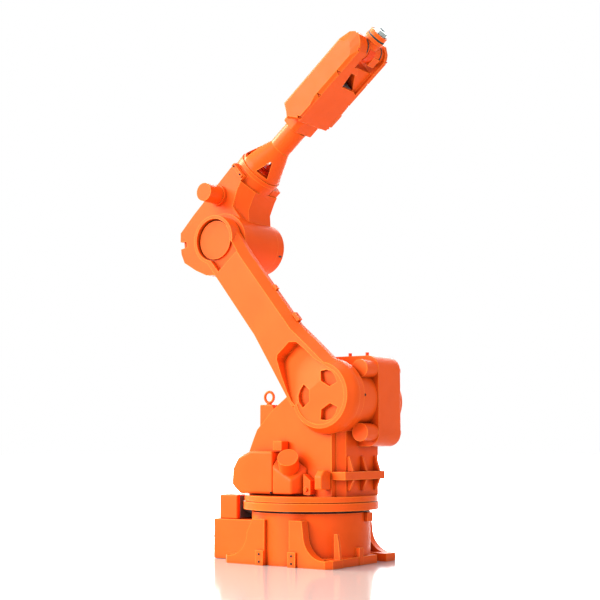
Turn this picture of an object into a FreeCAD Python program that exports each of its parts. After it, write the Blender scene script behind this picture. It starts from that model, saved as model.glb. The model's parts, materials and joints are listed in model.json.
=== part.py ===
"""Six-axis industrial robot arm: a parametric document with one body per sub-part.

Frame: the origin is the centre of the foot, on the floor. +X is the front, +Z is up,
and the lower arm hangs on the -Y side. All sizes are in millimetres and degrees.
"""
import FreeCAD, Part
import os
import re
import Sketcher
from FreeCAD import Placement, Rotation, Vector

# name, value, what it sets
SIZES = [
    # foot and drum
    ("drum_radius", 242, "outer radius of the cast drum"),
    ("drum_top", 203, "height of the drum"),
    ("plate_half_x", 261, "foot plate, half its length"),
    ("plate_half_y", 253, "foot plate, half its width"),
    ("plate_thick", 32, "thickness of the foot plate"),
    ("plate_corner", 23, "cut-off corner of the foot plate"),
    ("foot_width", 93, "width of each corner foot along Y"),
    ("front_step", 6, "how far the front edge stands back between the feet"),
    ("front_lip_end", 97, "where the front edge ends, beside the far foot"),
    ("side_notch", 38, "depth of the notch in each long side"),
    ("gusset_rear", 50, "inner edge of the rear gussets"),
    ("gusset_front", 70, "inner edge of the front gussets"),
    ("gusset_width", 60, "width of a gusset at its top"),
    ("gusset_top", 178, "height of the gussets"),
    ("gusset_thick", 40, "thickness of the gussets"),
    ("gusset_sweep", 96, "radius of the hollow curve of a gusset"),
    ("gusset_reach", 233, "centre of the hollow curve, from the middle"),
    ("foot_hole_x", 222, "foot bolts, from the middle along X"),
    ("foot_hole_y", 216, "foot bolts, from the middle along Y"),
    ("foot_hole_radius", 11, "radius of a foot bolt hole"),
    ("block_long", 37, "levelling block, length"),
    ("block_deep", 10, "levelling block, depth"),
    ("block_tall", 58, "levelling block, height"),
    ("block_bore", 3.5, "levelling block, radius of its two holes"),
    ("seat_gap", 0.3, "gap between curved or turning faces that meet"),
    ("slew_radius", 230, "radius of the slewing ring"),
    ("flange_bottom", 213, "underside of the turning flange"),
    # connector boxes
    ("box_rear", 412, "rear face of the connector box"),
    ("box_half", 125, "connector box, half its width"),
    ("box_top", 164, "height of the connector box"),
    ("hood_rear", 387, "rear face of the upper connector housing"),
    ("hood_front", 293, "front face of the upper connector housing"),
    ("hood_half", 119, "upper connector housing, half its width"),
    ("hood_top", 264, "top of the upper connector housing"),
    # turning flange and column
    ("flange_radius", 276, "radius of the turning flange"),
    ("flange_thick", 30, "thickness of the turning flange"),
    ("groove_radius", 267, "radius at the bottom of the groove"),
    ("groove_tall", 4, "height of the groove"),
    ("deck_radius", 272, "radius of the deck above the groove"),
    ("deck_thick", 21, "thickness of the deck"),
    ("column_front", 227, "front face of the column"),
    ("column_rear", 212, "rear face of the column, behind the axis"),
    ("column_near", 112, "near side of the column"),
    ("column_far", 154, "far side of the column"),
    ("cheek_thick", 29, "thickness of the near cheek"),
    ("cheek_front", 196, "front edge of the near cheek"),
    ("column_chamfer", 28, "chamfer between column and cheek"),
    ("shoulder_x", 184, "shoulder axis, in front of the turning axis"),
    ("shoulder_z", 665, "height of the shoulder axis"),
    ("collar_radius", 146, "radius of the collar at the shoulder"),
    ("barrel_radius", 138, "radius of the shoulder housing"),
    ("motor_drop", 18, "how far the shoulder motor sits below the axis"),
    ("boss_radius", 36, "radius of the four bosses on the housing"),
    ("boss_x", 106, "bosses, from the motor axis along X"),
    ("boss_z", 126, "bosses, from the motor axis along Z"),
    ("boss_long", 82, "length of the bosses"),
    ("cover_half_x", 143, "shoulder motor cover, half its length"),
    ("cover_half_z", 182, "shoulder motor cover, half its height"),
    ("cover_near", 2, "near face of the shoulder motor cover"),
    ("cover_deep", 188, "depth of the shoulder motor cover"),
    ("cover_round", 52, "corner radius of the shoulder motor cover"),
    ("cover_edge", 26, "rounding of the shoulder motor cover's far face"),
    ("lid_radius", 130, "radius of the round lid on the cover's far face"),
    ("lid_thick", 18, "thickness of that lid"),
    ("plug_radius", 7, "radius of the plugs on the cover"),
    ("plug_pitch", 82, "distance between those plugs"),
    ("plug_tall", 13, "height of the plugs on the cover"),
    # fork-lift bracket
    ("bracket_front", 261, "front edge of the fork-lift bracket"),
    ("bracket_bottom", 334, "underside of the fork-lift bracket"),
    ("bracket_thick", 32, "thickness of the fork-lift bracket"),
    ("rib_thick", 13, "thickness of a bracket rib"),
    ("rib_out", 28, "how far a bracket rib stands out"),
    ("rib_up", 60, "height of the upper ribs"),
    ("rib_down", 44, "height of the lower ribs"),
    ("rib_first", -70, "place of the first rib along Y"),
    ("rib_pitch", 97, "distance between ribs"),
    # gear case and covers on the cheek
    ("case_deep", 66, "depth of the covers on the cheek"),
    ("case_rise", 8, "gap between the deck and the covers above it"),
    ("cover_seam", -47, "where the motor cover meets the gear case"),
    ("cover_top", 446, "top of the turning motor cover"),
    ("cover_rear", 254, "rear end of the turning motor cover"),
    ("case_front", 47, "near front corner of the gear case"),
    ("case_back", 83, "front corner of the gear case at the cheek"),
    ("case_corner", 331, "height of the gear case at its near front corner"),
    ("cap_radius", 41, "radius of the inclined motor cap"),
    ("cap_long", 64, "length of the inclined motor cap"),
    ("tilt_x", 0.37, "slope of the gear case top, X part of its normal"),
    ("tilt_y", -0.69, "slope of the gear case top, Y part of its normal"),
    ("tilt_z", 0.63, "slope of the gear case top, Z part of its normal"),
    ("lug_near", 128, "near face of the lifting lug"),
    ("lug_thick", 46, "thickness of the lifting lug"),
    ("lug_rear", 168, "rear end of the lifting lug"),
    ("lug_front", 106, "front end of the lifting lug"),
    ("lug_top", 635, "top of the lifting lug"),
    ("eye_ring", 22, "mean radius of the lifting eye"),
    ("eye_wire", 5.5, "wire radius of the lifting eye"),
    # lower arm
    ("arm_length", 864, "shoulder axis to elbow axis"),
    ("arm_lean", 39.2, "backward lean of the lower arm at rest"),
    ("arm_thick", 62, "thickness of the lower arm"),
    ("arm_half", 88, "half width of the lower arm at its middle"),
    ("hub_radius", 151, "radius of the shoulder end"),
    ("hub_lip", 130, "radius of the shoulder end at its outer face"),
    ("hub_rim", 20, "width of the straight rim of the shoulder end"),
    ("hub_disc", 114, "radius of the disc inside the shoulder end"),
    ("hub_sink", 4, "depth of that disc below the lip"),
    ("window_in", 51, "inner reach of the three windows"),
    ("window_out", 107, "outer reach of the three windows"),
    ("window_half", 47, "half width of the three windows"),
    ("window_deep", 22, "depth of the three windows"),
    ("window_turn", 181, "direction of the first window"),
    ("scoop_start", 45, "lower end of the hollow above the disc"),
    ("scoop_lean", 12.5, "slope of that hollow's floor"),
    ("scoop_top", 256, "upper end of the hollow above the disc"),
    ("tip_radius", 104, "radius of the elbow end"),
    ("tip_disc", 90, "radius of the recess at the elbow end"),
    ("tip_sink", 26, "depth of the recess at the elbow end"),
    ("tip_cap", 82, "radius of the cap in that recess"),
    ("tip_cap_thick", 10, "thickness of the cap in that recess"),
    ("bevel_deep", 28, "bevel of the front edge, across the thickness"),
    ("bevel_wide", 38, "bevel of the front edge, across the face"),
    ("output_radius", 95, "radius of the gearbox output at the shoulder"),
    ("elbow_output", 78, "radius of the gearbox output at the elbow"),
    ("run_gap", 5, "running gap between the arms and what they pass"),
    # elbow
    ("forearm_rise", 38.9, "slope of the forearm at rest"),
    ("elbow_rise", 193, "forearm axis above the elbow axis"),
    ("elbow_near", 115, "near face of the elbow casting"),
    ("elbow_far", 95, "far face of the elbow casting"),
    ("elbow_boss", 122, "radius of the boss around the elbow axis"),
    ("elbow_barrel", 114, "radius of the elbow motor housing"),
    ("elbow_barrel_end", 148, "far end of the elbow motor housing"),
    ("block_end", 222, "front end of the elbow casting's body"),
    ("block_slope", 55, "slope between the near face and the underside of that body"),
    ("plate_deep", 26, "thickness of the near plate that reaches the neck's end"),
    ("neck_radius", 100, "radius of the neck around the forearm axis"),
    ("neck_end", 262, "front end of the neck"),
    ("ring_radius", 102, "radius of the roll gearbox ring"),
    ("ring_thick", 18, "thickness of the roll gearbox ring"),
    ("roll_motor_x", 96, "roll motor, along the forearm"),
    ("roll_motor_radius", 39, "radius of the roll motor"),
    ("roll_motor_long", 84, "length of the roll motor"),
    ("roll_base_radius", 45, "radius of the ring at the roll motor's foot"),
    ("roll_base_long", 16, "length of that ring"),
    # forearm
    ("yoke_radius", 96, "radius of the yoke at the roll gearbox"),
    ("yoke_flange", 14, "thickness of the yoke's flange"),
    ("yoke_end", 414, "front end of the yoke"),
    ("yoke_wall", 15, "wall of the yoke"),
    ("yoke_window", 30, "half width of the yoke's windows"),
    ("tube_radius", 49, "outer radius of the forearm tube"),
    ("tube_bore", 30, "inner radius of the forearm tube"),
    ("collar_start", 530, "rear face of the collar block"),
    ("collar_half_y", 72, "collar block, half its width"),
    ("collar_half_z", 45, "collar block, half its height"),
    ("fork_start", 590, "rear face of the fork"),
    ("fork_half_y", 102, "fork, half its width"),
    ("fork_bottom", 53, "underside of the fork, below the axis"),
    ("fork_top", 61, "top of the fork, above the axis"),
    ("fork_slot", 905, "bottom of the slot in the fork"),
    ("slot_near", 48, "near side of the slot in the fork"),
    ("slot_far", 88, "far side of the slot in the fork"),
    ("fork_nose", 53, "front end of the fork, past the bend axis"),
    ("hatch_start", 805, "rear end of the opening under the fork"),
    ("hatch_end", 877, "front end of the opening under the fork"),
    ("hatch_deep", 60, "depth of the opening under the fork"),
    ("ramp_deep", 14, "depth of the hollow beside that opening"),
    ("side_cover", 16, "thickness of the side covers of the fork"),
    ("side_skin", 5, "thickness of their rim"),
    ("side_start", 560, "rear end of the side covers"),
    ("side_slope", 13, "slope round the outer face of the side covers"),
    ("notch_first", 605, "first bolt notch of the side covers"),
    ("notch_pitch", 126, "distance between the bolt notches"),
    ("notch_half", 9, "half width of a bolt notch"),
    ("notch_tall", 14, "height of a bolt notch"),
    # wrist and tool flange
    ("bend_x", 972, "bend axis, along the forearm"),
    ("hub_size", 46, "radius of the wrist housing"),
    ("drum_far", 60, "far end of the wrist's drum"),
    ("wrist_neck", 38, "radius of the wrist's neck"),
    ("wrist_face", 1050, "front face of the wrist housing"),
    ("wrist_ring", 43, "radius of the ring on the wrist"),
    ("tool_ring", 41, "radius of the ring behind the tool flange"),
    ("tool_ring_thick", 16, "thickness of that ring"),
    ("tool_radius", 31.5, "radius of the tool flange"),
    ("tool_thick", 18, "thickness of the tool flange"),
    ("tool_circle", 25, "bolt circle radius of the tool flange"),
    ("tool_hole", 2.5, "radius of a threaded hole in the tool flange"),
    ("tool_hole_deep", 10, "depth of a threaded hole in the tool flange"),
    ("tool_bore", 15.75, "radius of the centring bore"),
    ("tool_bore_deep", 6, "depth of the centring bore"),
]

doc = FreeCAD.newDocument("robot_arm")
sizes = doc.addObject("Spreadsheet::Sheet", "sizes")
for row, (alias, value, meaning) in enumerate(SIZES, start=1):
    sizes.set(f"A{row}", meaning)
    sizes.set(f"B{row}", str(value))
    sizes.setAlias(f"B{row}", alias)
doc.recompute()
ALIASES = {alias for alias, value, meaning in SIZES}

PLANES = {"XY": "XY_Plane", "XZ": "XZ_Plane", "YZ": "YZ_Plane"}
TOWARDS = {
    "X": Rotation(Vector(0, 1, 0), 90),
    "-X": Rotation(Vector(0, 1, 0), -90),
    "Y": Rotation(Vector(1, 0, 0), -90),
    "-Y": Rotation(Vector(1, 0, 0), 90),
    "Z": Rotation(),
}
nodes = []


def scoped(formula):
    """The formula with each size read from the sheet."""
    return re.sub(r"[a-z_]+", lambda word: f"sizes.{word[0]}" if word[0] in ALIASES else word[0],
                  str(formula))


def bind(item, name, formula):
    item.setExpression(name, scoped(formula))


def bind_place(item, x, y, z):
    bind(item, "Placement.Base.x", x)
    bind(item, "Placement.Base.y", y)
    bind(item, "Placement.Base.z", z)


def new_body(label, frame=None):
    """An empty body; a frame gives the origin's X and Z and the turn about Y."""
    body = doc.addObject("PartDesign::Body", label)
    body.Label = label
    body.AllowCompound = True
    if frame:
        body.Placement = Placement(Vector(), Rotation(Vector(0, 1, 0), 1))
        bind_place(body, frame[0], 0, frame[1])
        bind(body, "Placement.Rotation.Angle", frame[2])
    nodes.append(body)
    return body


def origin_plane(body, plane):
    return next(item for item in body.Origin.OriginFeatures if item.Role == PLANES[plane])


def sketch_on(body, plane, offset):
    sketch = body.newObject("Sketcher::SketchObject", f"{body.Name}_sketch")
    sketch.AttachmentSupport = [(origin_plane(body, plane), "")]
    sketch.MapMode = "FlatFace"
    bind(sketch, "AttachmentOffset.Base.z", offset)
    return sketch


def outline_on(body, plane, offset, corners):
    """A closed outline of straight sides; each corner is a pair of formulas."""
    sketch = sketch_on(body, plane, offset)
    count = len(corners)
    spots = [Rotation(Vector(0, 0, 1), 360 * index / count).multVec(Vector(100, 0, 0))
             for index in range(count)]
    for index in range(count):
        sketch.addGeometry(Part.LineSegment(spots[index], spots[(index + 1) % count]))
    for index in range(count):
        sketch.addConstraint(Sketcher.Constraint("Coincident", index, 2, (index + 1) % count, 1))
    for index, (across, up) in enumerate(corners):
        for kind, formula, start in (("DistanceX", across, spots[index].x),
                                     ("DistanceY", up, spots[index].y)):
            number = sketch.addConstraint(Sketcher.Constraint(kind, -1, 1, index, 1, start))
            bind(sketch, f"Constraints[{number}]", formula)
    return sketch


def pad(body, plane, start, length, corners):
    """Material from the outline, at start along the plane's own normal."""
    feature = body.newObject("PartDesign::Pad", f"{body.Name}_pad")
    feature.Profile = outline_on(body, plane, start, corners)
    bind(feature, "Length", length)
    return feature


def pad_side(body, near, far, corners):
    """An XZ outline made solid from Y = near to Y = far."""
    return pad(body, "XZ", f"-({far})", f"({far}) - ({near})", corners)


def pocket(body, plane, start, length, corners):
    """An outline cut away, from start along the plane's own normal."""
    feature = body.newObject("PartDesign::Pocket", f"{body.Name}_pocket")
    feature.Profile = outline_on(body, plane, start, corners)
    feature.Reversed = True
    bind(feature, "Length", length)
    return feature


def turn_sketch(sketch, turn, back):
    """Turns a sketch about its own horizontal axis, keeping it that far back."""
    sketch.AttachmentOffset = Placement(Vector(), Rotation(Vector(1, 0, 0), turn))
    bind(sketch, "AttachmentOffset.Base.y", f"({back}) * sin({turn})")
    bind(sketch, "AttachmentOffset.Base.z", f"-({back}) * cos({turn})")


def primitive(body, kind, at, towards, **measures):
    """An additive or subtractive primitive, its local Z turned towards an axis."""
    feature = body.newObject(f"PartDesign::{kind}", f"{body.Name}_{kind}")
    feature.Placement = Placement(Vector(), TOWARDS[towards])
    bind_place(feature, *at)
    for name, formula in measures.items():
        bind(feature, name, formula)
    return feature


def add_cylinder(body, radius, length, at=(0, 0, 0), towards="Z"):
    return primitive(body, "AdditiveCylinder", at, towards, Radius=radius, Height=length)


def cut_cylinder(body, radius, length, at=(0, 0, 0), towards="Z"):
    return primitive(body, "SubtractiveCylinder", at, towards, Radius=radius, Height=length)


def add_cone(body, radius, end_radius, length, at=(0, 0, 0), towards="Z"):
    return primitive(body, "AdditiveCone", at, towards,
                     Radius1=radius, Radius2=end_radius, Height=length)


def cut_cone(body, radius, end_radius, length, at=(0, 0, 0), towards="Z"):
    return primitive(body, "SubtractiveCone", at, towards,
                     Radius1=radius, Radius2=end_radius, Height=length)


def add_block(body, x_range, y_range, z_range):
    return primitive(body, "AdditiveBox", (x_range[0], y_range[0], z_range[0]), "Z",
                     Length=f"({x_range[1]}) - ({x_range[0]})",
                     Width=f"({y_range[1]}) - ({y_range[0]})",
                     Height=f"({z_range[1]}) - ({z_range[0]})")


def cut_block(body, x_range, y_range, z_range):
    return primitive(body, "SubtractiveBox", (x_range[0], y_range[0], z_range[0]), "Z",
                     Length=f"({x_range[1]}) - ({x_range[0]})",
                     Width=f"({y_range[1]}) - ({y_range[0]})",
                     Height=f"({z_range[1]}) - ({z_range[0]})")


def edges_where(shape, test):
    return [f"Edge{number}" for number, edge in enumerate(shape.Edges, start=1) if test(edge)]


def runs_along(edge, axis):
    """True for a straight edge parallel to the axis."""
    if edge.Curve.TypeId != "Part::GeomLine":
        return False
    return abs(abs(edge.Curve.Direction.dot(axis)) - 1) < 1e-6


def round_edges(body, radius, test):
    doc.recompute()
    tip = body.Tip
    feature = body.newObject("PartDesign::Fillet", f"{body.Name}_fillet")
    feature.Base = (tip, edges_where(tip.Shape, test))
    bind(feature, "Radius", radius)
    return feature


def mirrored(corners):
    """The outline mirrored in its own vertical axis."""
    return [(f"-({across})", up) for across, up in reversed(corners)]


ARM = ("shoulder_x", "shoulder_z", "-arm_lean")
FORE = ("shoulder_x - arm_length * sin(arm_lean)",
        "shoulder_z + arm_length * cos(arm_lean)", "-forearm_rise")
ROLL = (f"{FORE[0]} - elbow_rise * sin(forearm_rise)",
        f"{FORE[1]} + elbow_rise * cos(forearm_rise)", "-forearm_rise")
DECK_BOTTOM = "flange_bottom + flange_thick + groove_tall"
DECK_TOP = f"{DECK_BOTTOM} + deck_thick"
CHEEK = "column_near + cheek_thick"
ARM_INNER = f"({CHEEK} + run_gap)"
ARM_OUTER = f"({CHEEK} + run_gap + arm_thick)"
COVER_TOP = "shoulder_z - motor_drop + cover_half_z"


# ---------------------------------------------------------------- base
def base_casting():
    """Drum, foot plate, gussets and front ribs, cast in one."""
    body = new_body("base_casting")
    add_cylinder(body, "drum_radius", "drum_top")
    inner_x = "plate_half_x - 61"
    foot = "plate_half_y - foot_width"
    notch = "plate_half_y - side_notch"
    tip_x = "plate_half_x - plate_corner"
    tip_y = "plate_half_y - plate_corner"
    near_side = [
        (f"-({tip_x})", "-plate_half_y"), ("-gusset_rear", "-plate_half_y"),
        ("-gusset_rear", f"-({notch})"), ("gusset_front", f"-({notch})"),
        ("gusset_front", "-plate_half_y"), (tip_x, "-plate_half_y"),
        ("plate_half_x", f"-({tip_y})"), ("plate_half_x", f"-({foot})"),
        ("plate_half_x - front_step", f"-({foot})"),
    ]
    front_gap = [
        ("plate_half_x - front_step", "front_lip_end"), (inner_x, "front_lip_end"),
        (inner_x, foot), ("plate_half_x", foot), ("plate_half_x", tip_y),
    ]
    far_side = [
        (tip_x, "plate_half_y"), ("gusset_front", "plate_half_y"),
        ("gusset_front", notch), ("-gusset_rear", notch),
        ("-gusset_rear", "plate_half_y"), (f"-({tip_x})", "plate_half_y"),
    ]
    rear = [
        ("-plate_half_x", tip_y), ("-plate_half_x", foot), (f"-({inner_x})", foot),
        (f"-({inner_x})", f"-({foot})"), ("-plate_half_x", f"-({foot})"),
        ("-plate_half_x", f"-({tip_y})"),
    ]
    pad(body, "XY", 0, "plate_thick", near_side + front_gap + far_side + rear)
    curve_z = "plate_thick + gusset_sweep - 2"
    edge_x = "gusset_reach - gusset_sweep"
    for start in ("-plate_half_y", "plate_half_y - gusset_thick"):
        for side, inner in (("", "gusset_front"), ("-", "gusset_rear")):
            corners = [(inner, 0), (inner, "gusset_top"),
                       (f"{inner} + gusset_width", "gusset_top"), (edge_x, curve_z),
                       ("gusset_reach", curve_z), ("gusset_reach", 0)]
            if side:
                corners = mirrored(corners)
            pad_side(body, start, f"{start} + gusset_thick", corners)
            cut_cylinder(body, "gusset_sweep", "gusset_thick + 2",
                         (f"{side}gusset_reach", f"{start} - 1", curve_z), "Y")
    rib = [("plate_half_x - 33", 0), ("plate_half_x - 5", 0), ("plate_half_x - 12", 90),
           ("plate_half_x - 20", 128), ("plate_half_x - 33", 128)]
    pad_side(body, -172, -158, rib)
    add_block(body, ("plate_half_x - 36", "plate_half_x - 4"), (-36, -8), (0, 68))
    for x in ("foot_hole_x", "-foot_hole_x"):
        for y in ("foot_hole_y", "-foot_hole_y"):
            cut_cylinder(body, "foot_hole_radius", "plate_thick + 2", (x, y, -1))


def levelling_blocks():
    """Four blocks against the gussets' faces, each with two holes."""
    body = new_body("levelling_blocks")
    for start, rear_x in (("-plate_half_y - block_deep", "-gusset_rear - block_long"),
                          ("-plate_half_y - block_deep", "gusset_front"),
                          ("plate_half_y", "-gusset_rear - block_long"),
                          ("plate_half_y", "gusset_front")):
        add_block(body, (rear_x, f"{rear_x} + block_long"), (start, f"{start} + block_deep"),
                  (0, "block_tall"))
        for share in (0.25, 0.75):
            cut_cylinder(body, "block_bore", "block_deep",
                         (f"{rear_x} + block_long / 2", start, f"block_tall * {share}"), "Y")


def slewing_ring():
    body = new_body("slewing_ring")
    add_cylinder(body, "slew_radius", "flange_bottom - drum_top - seat_gap", (0, 0, "drum_top"))


def turn_stop():
    """Hard stop for the turntable, on the front of the drum."""
    body = new_body("turn_stop")
    add_block(body, ("drum_radius - 40", "drum_radius + 14"), (26, 66),
              ("drum_top - 36", "drum_top"))
    cut_cylinder(body, "drum_radius + seat_gap", "drum_top")


def connector_box():
    body = new_body("connector_box")
    add_block(body, ("-box_rear", "-drum_radius + 60"), ("-box_half", "box_half"), (0, "box_top"))
    cut_cylinder(body, "drum_radius + seat_gap", "box_top")


def connector_hood():
    body = new_body("connector_hood")
    add_block(body, ("-hood_rear", "-hood_front"), ("-hood_half", "hood_half"),
              ("box_top", "hood_top"))


def box_latch():
    body = new_body("box_latch")
    add_block(body, ("-box_rear - 6", "-box_rear"), ("-box_half + 12", "-box_half + 42"),
              ("box_top / 2 + 4", "box_top / 2 + 14"))


# ----------------------------------------------------------- turntable
def turning_flange():
    """Flange, groove and deck under the column."""
    body = new_body("turning_flange")
    add_cylinder(body, "flange_radius", "flange_thick", (0, 0, "flange_bottom"))
    add_cylinder(body, "groove_radius", "groove_tall", (0, 0, "flange_bottom + flange_thick"))
    add_cylinder(body, "deck_radius", "deck_thick", (0, 0, DECK_BOTTOM))


def hump(front):
    """Side outline of the column and its cheek, from the deck to the shoulder."""
    return [
        (front, DECK_TOP), (front, "shoulder_z - 105"), ("shoulder_x", "shoulder_z"),
        ("shoulder_x - 50", "shoulder_z + barrel_radius - 19"),
        ("shoulder_x - 220", "shoulder_z - 11"), ("shoulder_x - 278", "shoulder_z - 53"),
        ("shoulder_x - 327", "shoulder_z - 103"), ("shoulder_x - 357", "shoulder_z - 133"),
        ("shoulder_x - 376", "shoulder_z - 173"), ("-column_rear", "shoulder_z - 220"),
        ("-column_rear", DECK_TOP),
    ]


def column_casting():
    """Column, near cheek, shoulder housing and its four bosses."""
    body = new_body("column_casting")
    pad_side(body, "-column_near", "column_far", hump("column_front"))
    pocket(body, "XY", DECK_TOP, "shoulder_z - flange_bottom",
           [("column_front - column_chamfer", "-column_near"),
            ("column_front", "column_chamfer - column_near"),
            ("column_front + 20", "-column_near - 20")])
    pad_side(body, f"-({CHEEK})", "-column_near", hump("cheek_front"))
    cut_block(body, ("shoulder_x - cover_half_x - seat_gap", "shoulder_x + cover_half_x"),
              ("cover_near", "column_far + 1"),
              ("shoulder_z - motor_drop - cover_half_z - seat_gap", "shoulder_z + hub_radius"))
    add_cylinder(body, "collar_radius", "cheek_thick + 6",
                 ("shoulder_x", f"-({CHEEK})", "shoulder_z"), "Y")
    add_cylinder(body, "barrel_radius", "column_near + cover_near",
                 ("shoulder_x", "-column_near", "shoulder_z - motor_drop / 2"), "Y")
    for side in ("-", "+"):
        for level in ("-", "+"):
            add_cylinder(body, "boss_radius", "boss_long",
                         (f"shoulder_x {side} boss_x", "cover_near - boss_long",
                          f"shoulder_z - motor_drop {level} boss_z"), "Y")


def shoulder_motor_cover():
    body = new_body("shoulder_motor_cover")
    centre = "shoulder_z - motor_drop"
    corners = [("shoulder_x - cover_half_x", f"{centre} - cover_half_z"),
               ("shoulder_x + cover_half_x", f"{centre} - cover_half_z"),
               ("shoulder_x + cover_half_x", f"{centre} + cover_half_z"),
               ("shoulder_x - cover_half_x", f"{centre} + cover_half_z")]
    pad_side(body, "cover_near", "cover_near + cover_deep", corners)
    round_edges(body, "cover_round", lambda edge: runs_along(edge, Vector(0, 1, 0)))
    far_face = float(sizes.get("cover_near")) + float(sizes.get("cover_deep"))
    round_edges(body, "cover_edge", lambda edge: abs(edge.BoundBox.YMin - far_face) < 1e-3)
    add_cylinder(body, "lid_radius", "lid_thick",
                 ("shoulder_x", "cover_near + cover_deep", centre), "Y")
    for side in ("-", "+"):
        for level in ("-", "+"):
            add_cylinder(body, "boss_radius - 8", "cover_edge",
                         (f"shoulder_x {side} boss_x", "cover_near + cover_deep - cover_edge",
                          f"{centre} {level} boss_z"), "Y")


def cover_plugs():
    """Two lifting plugs on top of the shoulder motor cover."""
    body = new_body("cover_plugs")
    for x in ("shoulder_x", "shoulder_x + plug_pitch"):
        add_cylinder(body, "plug_radius", "plug_tall", (x, "cover_near + 2 * plug_radius", COVER_TOP))


def fork_bracket():
    """Plate across the front of the column for the tines of a fork-lift."""
    body = new_body("fork_bracket")
    pad(body, "XY", "bracket_bottom", "bracket_thick",
        [("cheek_front", f"-({CHEEK})"), ("bracket_front", f"-({CHEEK})"),
         ("bracket_front", "column_far"), ("column_front", "column_far"),
         ("column_front", "column_chamfer - column_near"),
         ("column_front - column_chamfer", "-column_near"), ("cheek_front", "-column_near")])


def bracket_ribs():
    """Three ribs above the bracket and three below it."""
    body = new_body("bracket_ribs")
    top = "bracket_bottom + bracket_thick"
    for number in range(3):
        near = f"rib_first + {number} * rib_pitch - rib_thick / 2"
        far = f"rib_first + {number} * rib_pitch + rib_thick / 2"
        pad_side(body, near, far,
                 [("column_front", top), ("column_front + rib_out", top),
                  ("column_front + rib_out / 3", f"{top} + rib_up"),
                  ("column_front", f"{top} + rib_up")])
        pad_side(body, near, far,
                 [("column_front", "bracket_bottom"),
                  ("column_front", "bracket_bottom - rib_down"),
                  ("column_front + rib_out / 3", "bracket_bottom - rib_down"),
                  ("column_front + rib_out", "bracket_bottom")])


def turn_motor_cover():
    """Cover of the turning motor, behind the gear case on the cheek."""
    body = new_body("turn_motor_cover")
    floor = f"{DECK_TOP} + case_rise"
    pad_side(body, f"-({CHEEK}) - case_deep", f"-({CHEEK})",
             [("cover_seam", floor), ("cover_seam", "cover_top"),
              ("-cover_rear + 94", "cover_top"), ("-cover_rear + 34", "cover_top - 24"),
              ("-cover_rear + 5", "cover_top - 71"), ("-cover_rear", "cover_top - 133"),
              ("-cover_rear + 15", "cover_top - 148"), ("-cover_rear + 41", floor)])


def tilt_placement(x, y, z):
    """A place on the gear case, its axis square to the inclined top."""
    normal = Vector(*(float(sizes.get(name)) for name in ("tilt_x", "tilt_y", "tilt_z")))
    return Placement(Vector(x, y, z), Rotation(Vector(0, 0, 1), normal))


def gear_case():
    """Gear case with an inclined top that carries the turning motor's cap."""
    body = new_body("gear_case")
    near = f"-({CHEEK}) - case_deep"
    pad(body, "XY", f"{DECK_TOP} + case_rise", "150",
        [("cover_seam", near), ("case_front", near), ("case_back", f"-({CHEEK})"),
         ("cover_seam", f"-({CHEEK})")])
    slope = cut_cylinder(body, "cover_rear", "cover_rear", ("case_front", near, "case_corner"))
    slope.Placement = tilt_placement(*slope.Placement.Base)


def turn_motor_cap():
    """Inclined cap of the turning motor, square to the gear case's top."""
    body = new_body("turn_motor_cap")
    x = "case_front - 30"
    y = f"-({CHEEK}) - case_deep + 30"
    cap = add_cylinder(body, "cap_radius", "cap_long",
                       (x, y, "case_corner - (tilt_x * (-30) + tilt_y * 30) / tilt_z"))
    cap.Placement = tilt_placement(*cap.Placement.Base)


def oil_block():
    """Small block beside the gear case, with the oil knob on its face."""
    body = new_body("oil_block")
    floor = f"{DECK_TOP} + case_rise"
    pad_side(body, f"-({CHEEK}) - 34", f"-({CHEEK})",
             [("case_back + 2", floor), ("case_back + 34", floor), ("case_back + 34", "case_corner"),
              ("case_back + 2", "case_corner + 26")])
    add_cylinder(body, 8, 8, ("case_back + 14", f"-({CHEEK}) - 34", "case_corner - 34"), "-Y")


def end_cap():
    """Round-topped cap low on the cheek's front corner."""
    body = new_body("end_cap")
    near = f"-({CHEEK}) - 69"
    pad(body, "YZ", "cheek_front - 35", "33",
        [(near, "case_corner - 34"), (f"-({CHEEK})", "case_corner - 34"),
         (f"-({CHEEK})", "case_corner + 30"), (f"-({CHEEK}) - 18", "case_corner + 42"),
         (f"-({CHEEK}) - 48", "case_corner + 42"), (near, "case_corner + 18")])


def junction_box():
    body = new_body("junction_box")
    add_block(body, ("cover_seam - 8", "cover_seam + 36"), (f"-({CHEEK}) - 50", f"-({CHEEK})"),
              ("cover_top + 3", "cover_top + 40"))


def lifting_lug():
    """Lug on the slope of the column, with a flat top for the eye bolt."""
    body = new_body("lifting_lug")
    pad_side(body, "-lug_near", "lug_thick - lug_near",
             [("-lug_rear", "lug_top"), ("-lug_rear", "shoulder_z - shoulder_x - lug_rear + 224"),
              ("shoulder_x - 327", "shoulder_z - 103"),
              ("shoulder_x - 278", "shoulder_z - 53"), ("-lug_front", "lug_top")])


def eye_bolt():
    body = new_body("eye_bolt")
    x = "-(lug_rear + lug_front) / 2"
    y = "lug_thick / 2 - lug_near"
    add_cylinder(body, "2 * eye_wire", "eye_wire", (x, y, "lug_top"))
    primitive(body, "AdditiveTorus", (x, y, "lug_top + eye_ring + 1.6 * eye_wire"), "Y",
              Radius1="eye_ring", Radius2="eye_wire")


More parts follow.
